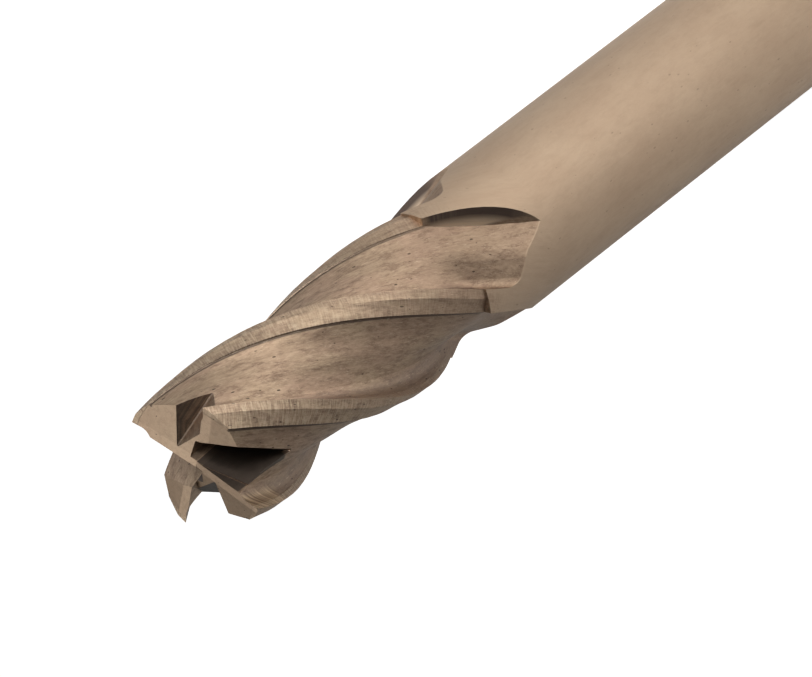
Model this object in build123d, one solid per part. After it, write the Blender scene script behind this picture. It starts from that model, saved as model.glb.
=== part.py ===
"""Four-flute centre-cutting end mill with a plain cylindrical shank.

It is ground from one bar of high-speed steel. The bar stands on its shank end: the axis
is +Z, the origin is the middle of the shank end and the cutting end is on top. It cuts
turning anticlockwise seen from the cutting end, and its flutes are right-hand helices.
Tooth 0 has its corner on +X at the cutting end. All sizes are millimetres and degrees.
"""

import os
from math import acos, atan2, cos, degrees, hypot, pi, radians, sin, sqrt, tan

from build123d import *

# The whole tool
overall_length = 83.0
shank_diameter = 12.0
cutting_diameter = 11.7
relieved_length = 26.0
tooth_count = 4
helix_angle = 30.0

# The shank end
shank_chamfer = 0.6
centre_mouth_diameter = 4.0
centre_pilot_diameter = 1.6
centre_pilot_length = 1.6
centre_angle = 60.0

# One flute, seen square to the axis
rake_angle = 5.0
core_diameter = 8.0
core_angle = 16.0
gullet_radius = 1.0
back_distance = 4.29
back_radius = 3.0
heel_step = 0.08
heel_wall_lean = 12.0
foot_radius = 0.1

# The end of the flute, where the disc cutter climbs out of the shank
cutter_diameter = 72.0
cutter_swivel = 34.6
cutter_lead_angle = 40.7
climb_start = 26.1

# The relieved lands behind the cutting edges
primary_land = 0.8
primary_relief = 8.0
land_width = 2.1
secondary_relief = 24.0

# The end teeth
dish_angle = 2.0
end_primary_width = 0.8
end_primary_relief = 6.0
end_secondary_relief = 13.8
long_edge_offset = 0.27

# The gash of a long end tooth: a V with a steep wall, whose bottom is this deep at the axis
long_gash_depth = 2.6
long_gash_wall_lean = 6.0
long_gash_flank_angle = 35.2
long_gash_angle = 35.5
long_gash_overrun = 0.6

# The gash of a short end tooth: an undercut wall, a floor that falls away from it, and a flank
short_gash_width = 1.85
short_gash_rise = 0.12
short_gash_wall_lean = -6.6
short_gash_floor_fall = 42.0
short_gash_flank_angle = 38.0
short_gash_angle = 39.3

gash_corner_radius = 0.12

# How far the cutting shapes reach outside the bar, and how closely their sections follow
outside_reach = 1.5
sections_per_turn = 36

# Worked out from the sizes above
shank_radius = shank_diameter / 2
cutting_radius = cutting_diameter / 2
core_radius = core_diameter / 2
clear_radius = shank_radius + outside_reach
tooth_pitch = 360.0 / tooth_count
lead = pi * cutting_diameter / tan(radians(helix_angle))
section_step = lead / sections_per_turn
top = overall_length + shank_radius
relief_end = overall_length - relieved_length
climb_from = overall_length - climb_start


def polar(radius, angle):
    """A point of the cross-section, from its radius and its angle in degrees."""
    return Vector(radius * cos(radians(angle)), radius * sin(radians(angle)))


def twist(z):
    """How far the helix has turned at height z, counted from the cutting end."""
    return 360.0 * (z - overall_length) / lead


def facet_radius(start_radius, relief, angle):
    """The radius of a flat relief facet, at an angle behind the point where it starts."""
    return start_radius * cos(radians(relief)) / cos(radians(angle - relief))


# Corners of a land: its cutting edge, the line between its two facets, and its heel
primary_span = degrees(primary_land / cutting_radius)
land_span = degrees(land_width / cutting_radius)
primary_end_radius = facet_radius(cutting_radius, primary_relief, primary_span)
heel_radius = facet_radius(primary_end_radius, secondary_relief, land_span - primary_span)
heel_angle = tooth_pitch - land_span


def meeting(angle_1, distance_1, angle_2, distance_2):
    """Where two lines of the cross-section meet, each given by the angle it is square to and
    its distance from the axis."""
    square_1 = polar(1, angle_1)
    square_2 = polar(1, angle_2)
    turn = sin(radians(angle_2 - angle_1))
    return Vector(
        (distance_1 * square_2.Y - distance_2 * square_1.Y) / turn,
        (distance_2 * square_1.X - distance_1 * square_2.X) / turn,
    )


def flute_outline():
    """One flute ahead of tooth 0 at the cutting end: down the rake face, round the gullet,
    along the core, up the flat back of the next tooth and out at that tooth's heel."""
    edge = polar(cutting_radius, 0)
    rake = polar(1, rake_angle)
    rake_distance = -cutting_radius * sin(radians(rake_angle))
    heel = polar(heel_radius, heel_angle)
    wall = polar(1, heel_angle + heel_wall_lean)
    wall_foot = heel - wall * heel_step
    foot_angle = degrees(atan2(wall_foot.Y, wall_foot.X))
    back_angle = foot_angle - degrees(acos(back_distance / wall_foot.length))
    return FilletPolyline(
        edge + rake * (clear_radius - cutting_radius),
        meeting(rake_angle + 90, rake_distance, core_angle, core_radius),
        meeting(core_angle, core_radius, back_angle, back_distance),
        wall_foot,
        heel + wall * (clear_radius - heel_radius),
        radius=[gullet_radius, back_radius, foot_radius],
    )


def climbed(point, travel):
    """Where the disc cutter's circle through a point of the outline lies, this far towards
    the shank from the height where the cutter stops turning with the work."""
    swivel = radians(cutter_swivel)
    centre = cutter_diameter / 2 + core_radius
    seen = point.rotate(Axis.Z, -cutter_lead_angle)
    circle = hypot(centre - seen.X, seen.Y * sin(swivel))
    along = travel / cos(swivel) - seen.Y * sin(swivel)
    depth = centre - sqrt(circle**2 - along**2)
    return Vector(depth, seen.Y - travel * tan(swivel)).rotate(Axis.Z, cutter_lead_angle)


def in_flute(point, z):
    """A point of the flute's outline, moved to where it lies at height z."""
    travel = climb_from - z
    if travel > 0:
        point = climbed(point, travel)
    return point.rotate(Axis.Z, twist(max(z, climb_from))) + Vector(0, 0, z)


def flute_section(outline, z):
    """The flute's outline at one height, closed outside the bar."""
    edges = []
    for piece in outline.edges():
        at = [in_flute(piece @ share, z) for share in (0, 0.5, 1)]
        straight = piece.geom_type == GeomType.LINE
        edges.append(Edge.make_line(at[0], at[2]) if straight else Edge.make_three_point_arc(*at))
    outside = in_flute(polar(clear_radius + outside_reach, heel_angle / 2), z)
    edges.append(Edge.make_three_point_arc(edges[-1] @ 1, outside, edges[0] @ 0))
    return Wire(edges)


def relief_section(z):
    """The closed outline, at one height, of what is ground off behind tooth 0's edge."""
    ahead = -primary_span
    beyond = land_span + primary_span
    points = [
        polar(facet_radius(cutting_radius, primary_relief, ahead), -ahead),
        polar(primary_end_radius, -primary_span),
        polar(
            facet_radius(primary_end_radius, secondary_relief, beyond - primary_span), -beyond
        ),
        polar(clear_radius, -beyond),
        polar(clear_radius + outside_reach, -beyond / 2),
        polar(clear_radius, -ahead),
    ]
    at = [point.rotate(Axis.Z, twist(z)) + Vector(0, 0, z) for point in points]
    return Wire([Edge.make_line(at[i], at[(i + 1) % len(at)]) for i in range(len(at))])


def heights(bottom, top, step):
    """Even heights from bottom to top, no further apart than step."""
    count = int((top - bottom) / step) + 1
    return [bottom + (top - bottom) * i / count for i in range(count + 1)]


def around(cutter):
    """Copies of a cutter, one for each tooth."""
    return [cutter.rotate(Axis.Z, tooth_pitch * i) for i in range(tooth_count)]


def flutes():
    """The four flutes: a helix as far as climb_from, then the cutter's way out."""
    outline = flute_outline()
    radius = cutter_diameter / 2
    way_out = sqrt(radius**2 - (radius - shank_radius + core_radius) ** 2)
    bottom = climb_from - way_out * cos(radians(cutter_swivel))
    levels = heights(bottom, climb_from, section_step / 2)[:-1]
    levels += heights(climb_from, top, section_step)
    return around(Solid.make_loft([flute_section(outline, z) for z in levels]))


def land_reliefs():
    """The two relief facets behind each cutting edge, over the relieved length."""
    levels = heights(relief_end, top, section_step)
    return around(Solid.make_loft([relief_section(z) for z in levels]))


def end_relief(offset, inner):
    """What is ground off the end face behind one end tooth's edge. The edge lies this offset
    ahead of the middle, and the tooth's quarter of the face begins at inner."""
    dish = tan(radians(dish_angle))
    z = overall_length - dish * (cutting_radius - inner)
    drop = tan(radians(end_primary_relief)) * end_primary_width
    fall = drop + tan(radians(end_secondary_relief)) * clear_radius
    outline = Polyline(
        (offset, z),
        (offset - end_primary_width, z - drop),
        (offset - end_primary_width - clear_radius, z - fall),
        (offset - end_primary_width - clear_radius, top),
        (offset, top),
        close=True,
    )
    face = Plane.YZ.offset(inner) * make_face(outline)
    return extrude(face, amount=clear_radius, dir=(1, 0, dish))


def gash(outline, start, angle, wall_lean):
    """A groove ahead of an end tooth's edge. Its outline at the axis is carried outwards from
    start and down at its angle, and swung round so that its leaning wall keeps to the edge."""
    fall = tan(radians(angle))
    way = Vector(1, fall * tan(radians(wall_lean)), -fall)
    section = Plane.YZ * make_face([*outline.edges(), Line(outline @ 1, outline @ 0)])
    return extrude(Pos(way * start) * section, amount=clear_radius * 2, dir=way)


def long_gash():
    """The V ahead of a long end tooth, which runs on past the middle."""
    bottom = overall_length - long_gash_depth
    wall = tan(radians(long_gash_wall_lean))
    flank = tan(radians(long_gash_flank_angle))
    bottom_offset = long_edge_offset + long_gash_depth * wall
    outline = FilletPolyline(
        (bottom_offset - (top - bottom) * wall, top),
        (bottom_offset, bottom),
        (bottom_offset + (top - bottom) * flank, top),
        radius=gash_corner_radius,
    )
    return gash(outline, -long_gash_overrun, long_gash_angle, long_gash_wall_lean)


def short_gash():
    """The groove ahead of a short end tooth, which fades out before the middle."""
    bottom = overall_length + short_gash_rise
    wall = tan(radians(short_gash_wall_lean))
    floor = tan(radians(short_gash_floor_fall))
    flank = tan(radians(short_gash_flank_angle))
    wall_foot = (short_gash_rise + short_gash_width * floor) / (1 - wall * floor)
    outline = FilletPolyline(
        (-(top - overall_length) * wall, top),
        (-wall_foot * wall, overall_length + wall_foot),
        (short_gash_width, bottom),
        (short_gash_width + (top - bottom) * flank, top),
        radius=[0, gash_corner_radius],
    )
    return gash(outline, 0, short_gash_angle, short_gash_wall_lean)


def end_teeth():
    """The end reliefs and gashes, alternately for a long tooth that reaches the middle and a
    short one that the long teeth's gashes cut off."""
    long_tooth = [end_relief(long_edge_offset, 0), long_gash()]
    short_tooth = [end_relief(0, long_edge_offset), short_gash()]
    cutters = []
    for i in range(tooth_count):
        tooth = short_tooth if i % 2 else long_tooth
        cutters += [cutter.rotate(Axis.Z, tooth_pitch * i) for cutter in tooth]
    return cutters


def blank():
    """The turned bar, with the centre in its shank end that it is ground on."""
    bar = Cylinder(shank_radius, overall_length, align=(Align.CENTER, Align.CENTER, Align.MIN))
    bar = chamfer(bar.edges().sort_by(Axis.Z)[0], shank_chamfer)
    cone_depth = (centre_mouth_diameter - centre_pilot_diameter) / 2 / tan(radians(centre_angle / 2))
    centre = Polyline(
        (0, 0),
        (centre_mouth_diameter / 2, 0),
        (centre_pilot_diameter / 2, cone_depth),
        (centre_pilot_diameter / 2, cone_depth + centre_pilot_length),
        (0, cone_depth + centre_pilot_length),
        close=True,
    )
    return bar - revolve(make_face(Plane.XZ * centre), Axis.Z)


end_mill = blank() - (flutes() + land_reliefs() + end_teeth())

os.makedirs("parts", exist_ok=True)
export_step(end_mill, "parts/end_mill.step")
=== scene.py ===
import math

import bmesh
import bpy
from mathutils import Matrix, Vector

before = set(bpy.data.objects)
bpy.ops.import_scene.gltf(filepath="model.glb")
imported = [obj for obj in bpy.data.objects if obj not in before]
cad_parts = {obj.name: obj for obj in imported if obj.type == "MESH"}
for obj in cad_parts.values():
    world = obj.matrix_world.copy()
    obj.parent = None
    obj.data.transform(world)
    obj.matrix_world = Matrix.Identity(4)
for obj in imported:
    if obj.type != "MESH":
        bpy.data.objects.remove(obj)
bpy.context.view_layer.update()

# The end mill: one ground bar of high-speed steel, bronze-brown from its heat treatment. Its
# flutes are ground lengthwise with a disc, its lands and end faces are ground across, and
# small pits are scattered over it. All marks are drawn in millimetres of the tool itself.
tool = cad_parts["end_mill"]
bronze = bpy.data.materials.new("bronze_ground_steel")
bronze.use_nodes = True
tree = bronze.node_tree
steel = tree.nodes["Principled BSDF"]


def feed(socket, value):
    if isinstance(value, bpy.types.NodeSocket):
        tree.links.new(value, socket)
    elif value is not None:
        socket.default_value = value


def add(kind, *inputs, **settings):
    made = tree.nodes.new("ShaderNode" + kind)
    for name, value in settings.items():
        setattr(made, name, value)
    for socket, value in zip(made.inputs, inputs):
        feed(socket, value)
    return made


def maths(operation, *inputs):
    return add("Math", *inputs, operation=operation).outputs[0]


def product(first, *factors):
    for factor in factors:
        first = maths("MULTIPLY", first, factor)
    return first


def total(first, *terms):
    for term in terms:
        first = maths("ADD", first, term)
    return first


def most(first, *shares):
    for share in shares:
        first = maths("MAXIMUM", first, share)
    return first


def between(value, low, high, start=0.0, end=1.0):
    return add("MapRange", value, low, high, start, end).outputs[0]


def mixed(share, under, over):
    made = add("Mix", data_type="RGBA")
    for socket, value in zip((made.inputs[0], *made.inputs[6:8]), (share, under, over)):
        feed(socket, value)
    return made.outputs[2]


def marks(vector, scale, detail, rough=0.6):
    made = add("TexNoise", vector)
    made.inputs["Scale"].default_value = scale
    made.inputs["Detail"].default_value = detail
    made.inputs["Roughness"].default_value = rough
    return made.outputs["Fac"]


def stretched(vector, size):
    return add("VectorMath", vector, size, operation="MULTIPLY").outputs[0]


# Where a point lies: in millimetres, then turned back along the helix so that each tooth
# runs straight, with its place behind the edge of its own tooth, in quarter turns.
tool_length = 83.0
helix_turn = -0.0987
helix_end = -34.0
quarter_turn = 1.5708
surface = add("TexCoord")
place = stretched(surface.outputs["Object"], (1000, 1000, 1000))
x, y, z = add("SeparateXYZ", place).outputs
depth = maths("SUBTRACT", z, tool_length)
straight = add("VectorRotate", place, rotation_type="Z_AXIS")
feed(straight.inputs["Angle"], product(most(depth, helix_end), helix_turn))
straight = straight.outputs[0]
across, along_y, _ = add("SeparateXYZ", straight).outputs
quarter = maths("DIVIDE", maths("ARCTAN2", along_y, across), quarter_turn)
behind = maths("SUBTRACT", 1.0, maths("FRACT", quarter))
flat = add("CombineXYZ", across, along_y).outputs[0]
radius = add("VectorMath", flat, operation="LENGTH").outputs["Value"]
facing = add("SeparateXYZ", surface.outputs["Normal"]).outputs[2]

# The ground surfaces, each a value that is 1 on it and 0 elsewhere and fades between the two
# numbers of a range: the lands, the shank, the end faces, the rake next to the cutting edge,
# the small step at the heel, undersides, and the run-outs towards the shank.
land = product(
    between(behind, 0.25, 0.228),
    between(radius, 5.33, 5.38),
    between(depth, -29.0, -26.0),
)
shank = product(between(depth, -25.0, -27.5), between(radius, 5.93, 5.97))
face = product(between(facing, 0.9, 0.94), between(depth, -2.0, -1.6))
smooth = most(product(shank, 0.86), product(face, 0.6))
above_run_out = between(depth, -26.5, -25.5)
rake = product(between(behind, 0.93, 0.96), between(radius, 5.0, 5.3), above_run_out)
# The small step at the heel gets painted shadow, a dark line along it.
shadowed_heel_step = product(
    between(behind, 0.226, 0.230),
    between(behind, 0.250, 0.244),
    between(radius, 5.1, 5.15),
    above_run_out,
)
# Surfaces that face down get painted shade.
under = between(facing, -0.12, -0.36)
run_out = product(between(depth, -18.0, -27.0), between(shank, 1.0, 0.0))

# The gashes between the end teeth: two long ones, where x and y have the same sign, and two
# short ones. The painted shade in them is darkest in the front long gash and in the back short
# one.
tilted = between(facing, 0.75, 0.7)
in_gash = most(
    product(between(facing, 0.45, 0.5), tilted),
    product(between(radius, 4.0, 3.9), tilted),
)
in_gash = product(in_gash, between(depth, -7.0, -6.5))
same_sign = product(x, y)
long_side = between(same_sign, 0.0, 0.02)
short_side = between(same_sign, 0.0, -0.02)
long_gash = product(in_gash, long_side, between(y, 0.0, -0.1, 0.1, 1.0))
short_gash = product(in_gash, short_side)
flank_lean = 0.095
from_middle = total(maths("ABSOLUTE", x), product(maths("ABSOLUTE", y), flank_lean))
short_flank = product(short_gash, between(from_middle, 1.80, 1.86))
shaded_side = product(short_gash, between(y, 0.3, 0.5))
near_tip = between(depth, -5.0, -4.8)
# A corner of the short gashes and a ledge near the tip get painted shade too.
corner = product(
    between(facing, 0.68, 0.74),
    between(facing, 0.90, 0.87),
    short_side,
    near_tip,
    between(depth, -0.1, -0.15),
)
ledge = product(
    between(x, -0.5, -0.6),
    between(y, -0.275, -0.29),
    between(y, -0.9, -0.8),
    near_tip,
)

# The colour: tan-brown, with long streaks, soft patches and fine grain. The shank and the end
# faces are smoother, and the rake is darker. The heel step and the undersides get painted
# shade.
streaks = marks(stretched(straight, (1, 1, 0.09)), 3.5, 6, 0.7)
patches = marks(stretched(straight, (1, 1, 0.5)), 0.35, 3)
grain = marks(stretched(straight, (1, 1, 0.3)), 7.0, 5, 0.8)
blotches = marks(stretched(straight, (1, 1, 0.35)), 1.9, 6, 0.75)
dark_tan, light_tan = (0.37, 0.265, 0.180, 1), (0.54, 0.405, 0.285, 1)
red_brown, umber = (0.43, 0.29, 0.215, 1), (0.25, 0.17, 0.12, 1)
pale_grain, dark_grain = (0.66, 0.52, 0.38, 1), (0.20, 0.14, 0.10, 1)
pale_satin, brown_satin = (0.50, 0.378, 0.272, 1), (0.45, 0.333, 0.235, 1)
rake_brown, heel_shadow_black = (0.20, 0.125, 0.09, 1), (0.10, 0.075, 0.06, 1)
shaded_brown, run_out_brown = (0.17, 0.13, 0.11, 1), (0.28, 0.185, 0.13, 1)
colour = mixed(between(streaks, 0.35, 0.65), dark_tan, light_tan)
satin = mixed(between(patches, 0.3, 0.7), pale_satin, brown_satin)
for share, tint in (
    (between(patches, 0.42, 0.6, 0.0, 0.55), red_brown),
    (between(blotches, 0.48, 0.60, 0.0, 0.75), umber),
    (between(grain, 0.52, 0.72, 0.0, 0.6), pale_grain),
    (between(grain, 0.48, 0.30, 0.0, 0.55), dark_grain),
    (smooth, satin),
    (product(rake, 0.55), rake_brown),
    # painted shadow along the heel step
    (product(shadowed_heel_step, 0.85), heel_shadow_black),
    # painted shade on the undersides
    (product(under, 0.6), shaded_brown),
    (product(run_out, 0.3), run_out_brown),
):
    colour = mixed(share, colour, tint)

# The pits: small dark dots, a little longer along the flutes, in four of every ten cells.
cells = add("TexVoronoi", stretched(straight, (1, 1, 0.45)))
cells.inputs["Scale"].default_value = 2.4
chosen = add("SeparateXYZ", cells.outputs["Color"]).outputs[0]
pit_size = between(chosen, 0.6, 1.0, 0.03, 0.16)
pits = maths("LESS_THAN", cells.outputs["Distance"], pit_size)
pits = product(pits, between(chosen, 0.60, 0.61))
pit_shade = product(pits, between(shank, 0.0, 1.0, 0.9, 0.3))
pit_black = (0.08, 0.057, 0.045, 1)
colour = mixed(pit_shade, colour, pit_black)

# Short bright scratches, which run along the flutes and are fainter on the shank.
scratches = marks(stretched(straight, (1, 1, 0.12)), 14.0, 3, 0.7)
scratches = product(
    between(scratches, 0.60, 0.70),
    between(blotches, 0.42, 0.52),
    between(shank, 0.0, 1.0, 0.55, 0.05),
)
scratch_tan = (0.74, 0.60, 0.45, 1)
colour = mixed(scratches, colour, scratch_tan)

# The steep wall of each run-out gets painted shading: painted shadow under its rim and painted
# light at its foot.
run_out_wall_shading = product(
    between(facing, 0.36, 0.40),
    between(facing, 0.56, 0.53),
    between(behind, 0.33, 0.31),
    between(behind, 0.15, 0.18),
    between(depth, -26.2, -26.6),
)
painted_lit_foot, painted_rim_shadow = (0.86, 0.66, 0.48, 1), (0.15, 0.11, 0.09, 1)
colour = mixed(run_out_wall_shading, colour, mixed(between(radius, 4.95, 5.55), painted_lit_foot, painted_rim_shadow))

# Coarse stripes on the rake of one long tooth, next to its corner.
lean_x, lean_z = 0.63, 0.77
coarse = maths("SUBTRACT", product(x, lean_x), product(z, lean_z))
coarse = marks(add("CombineXYZ", coarse).outputs[0], 3.5, 2, 0.5)
striped = product(
    between(x, -4.0, -4.5),
    between(depth, -4.2, -3.4),
    between(facing, -0.2, -0.3),
    between(y, -1.0, -0.5),
)
dark_stripe, light_stripe = (0.20, 0.14, 0.09, 1), (0.56, 0.42, 0.28, 1)
stripe = mixed(between(coarse, 0.42, 0.58), dark_stripe, light_stripe)
colour = mixed(product(striped, 0.8), colour, stripe)

# Fine lines ground across the lands, strongest near the cutting end. They lean a little
# against the edge, and each tooth has lines of its own.
edge_per_depth = 1.155
line_lean = 4.6
next_tooth = 7.3
step = maths("SUBTRACT", product(depth, edge_per_depth), product(behind, line_lean))
step = total(step, product(maths("FLOOR", quarter), next_tooth))
hatch = marks(add("CombineXYZ", step, behind).outputs[0], 7.5, 4)
strength = product(land, between(depth, -22.0, -4.0, 0.35, 1.0))
lighter = product(strength, between(hatch, 0.45, 0.62))
darker = product(strength, between(hatch, 0.45, 0.34))
light_line, dark_line = (0.68, 0.56, 0.41, 1), (0.25, 0.19, 0.145, 1)
colour = mixed(product(lighter, 0.6), colour, light_line)
colour = mixed(product(darker, 0.5), colour, dark_line)

# The gashes were ground last. They get painted shade, a dark colour in place of the shadow in
# them, broken by stripes that run down their slope.
gash_fall = 0.8
outwards = most(maths("ABSOLUTE", x), maths("ABSOLUTE", y))
slope = total(depth, product(outwards, gash_fall))
stripes = marks(add("CombineXYZ", slope, product(depth, 0.05)).outputs[0], 5.0, 3)
gash_shade = total(
    product(short_flank, between(stripes, 0.4, 0.65, 0.85, 0.45)),
    product(long_gash, 0.9),
)
gash_shade = most(
    gash_shade,
    product(most(shaded_side, ledge), 0.95),
    product(corner, 0.7),
    product(short_gash, 0.35),
)
gash_shadow_black = (0.11, 0.088, 0.074, 1)
colour = mixed(gash_shade, colour, gash_shadow_black)

# The finish: bare metal, duller where the streaks and the lines are light. The marks stand
# out or lie in by a few hundredths of a millimetre.
feed(steel.inputs["Base Color"], colour)
steel.inputs["Metallic"].default_value = 1.0
gloss = total(between(streaks, 0.3, 0.7, 0.44, 0.56), product(lighter, 0.08))
feed(steel.inputs["Roughness"], gloss)
relief = total(product(streaks, 0.5), product(grain, 0.3), product(strength, hatch, 2.0))
relief = maths("SUBTRACT", relief, product(pits, 1.5))
bump = add("Bump")
bump.inputs["Strength"].default_value = 0.6
bump.inputs["Distance"].default_value = 0.00003
feed(bump.inputs["Height"], relief)
feed(steel.inputs["Normal"], bump.outputs["Normal"])
tool.data.materials.clear()
tool.data.materials.append(bronze)

# The floor: a plain pale sheet that the tool stands on. A light of its own, seen by the camera
# alone, lifts it to white outside the tool's shadow.
floor_mesh = bmesh.new()
bmesh.ops.create_grid(floor_mesh, x_segments=1, y_segments=1, size=6.0)
floor_data = bpy.data.meshes.new("floor")
floor_mesh.to_mesh(floor_data)
floor_mesh.free()
floor = bpy.data.objects.new("floor", floor_data)
bpy.context.scene.collection.objects.link(floor)
paper = bpy.data.materials.new("white_paper")
paper.use_nodes = True
tree = paper.node_tree
sheet = tree.nodes["Principled BSDF"]
sheet.inputs["Base Color"].default_value = (0.85, 0.85, 0.85, 1)
sheet.inputs["Roughness"].default_value = 0.9
camera_ray = add("LightPath").outputs["Is Camera Ray"]
sheet.inputs["Emission Color"].default_value = (1, 1, 1, 1)
feed(sheet.inputs["Emission Strength"], product(camera_ray, 0.7))
floor_data.materials.append(paper)

# The room: white to the camera, but dim as a light, so that the metal keeps its contrast.
room = bpy.data.worlds.new("room")
bpy.context.scene.world = room
room.use_nodes = True
tree = room.node_tree
sky = tree.nodes["Background"]
sky.inputs["Color"].default_value = (1, 1, 1, 1)
camera_ray = add("LightPath").outputs["Is Camera Ray"]
feed(sky.inputs["Strength"], between(camera_ray, 0.0, 1.0, 0.045, 1.0))

# The lamps: three soft boxes turned towards the cutting end, and a low one that shines
# straight down in front of the tool.
tip = Vector((0, 0, tool_length / 1000))
warm_white = (1, 0.985, 0.96)
cool_white = (0.92, 0.96, 1)


def soft_box(name, position, back, size, watts, tint):
    lamp = bpy.data.lights.new(name, "AREA")
    lamp.energy = watts
    lamp.size = size
    lamp.color = tint
    box = bpy.data.objects.new(name, lamp)
    bpy.context.scene.collection.objects.link(box)
    box.location = position
    box.rotation_euler = back.to_track_quat("Z", "Y").to_euler()


for name, towards, distance, size, watts, tint in (
    ("key", (0.1, -0.8, 0.55), 0.22, 0.14, 0.33, warm_white),
    ("side", (0.88, -0.45, 0.12), 1.4, 1.4, 5, cool_white),
    ("back", (0.32, 0.52, 0.79), 1.4, 0.9, 5, warm_white),
):
    towards = Vector(towards).normalized()
    soft_box(name, tip + towards * distance, towards, size, watts, tint)
soft_box("low", (-0.01, -0.11, 0.11), Vector((0, 0, 1)), 0.06, 0.185, warm_white)

# The camera stands where the photograph was taken from, close to the cutting end and rolled,
# so that the shank runs off the upper right corner.
lens = bpy.data.cameras.new("camera")
lens.sensor_width = 36
lens.lens = 314.2
lens.clip_start = 0.01
camera = bpy.data.objects.new("camera", lens)
camera.location = (-0.19709, -0.356217, 0.370028)
camera.rotation_euler = [math.radians(a) for a in (-39.038, 38.9391, -170.8814)]
bpy.context.scene.collection.objects.link(camera)
bpy.context.scene.camera = camera

bpy.context.scene.view_settings.view_transform = "Standard"
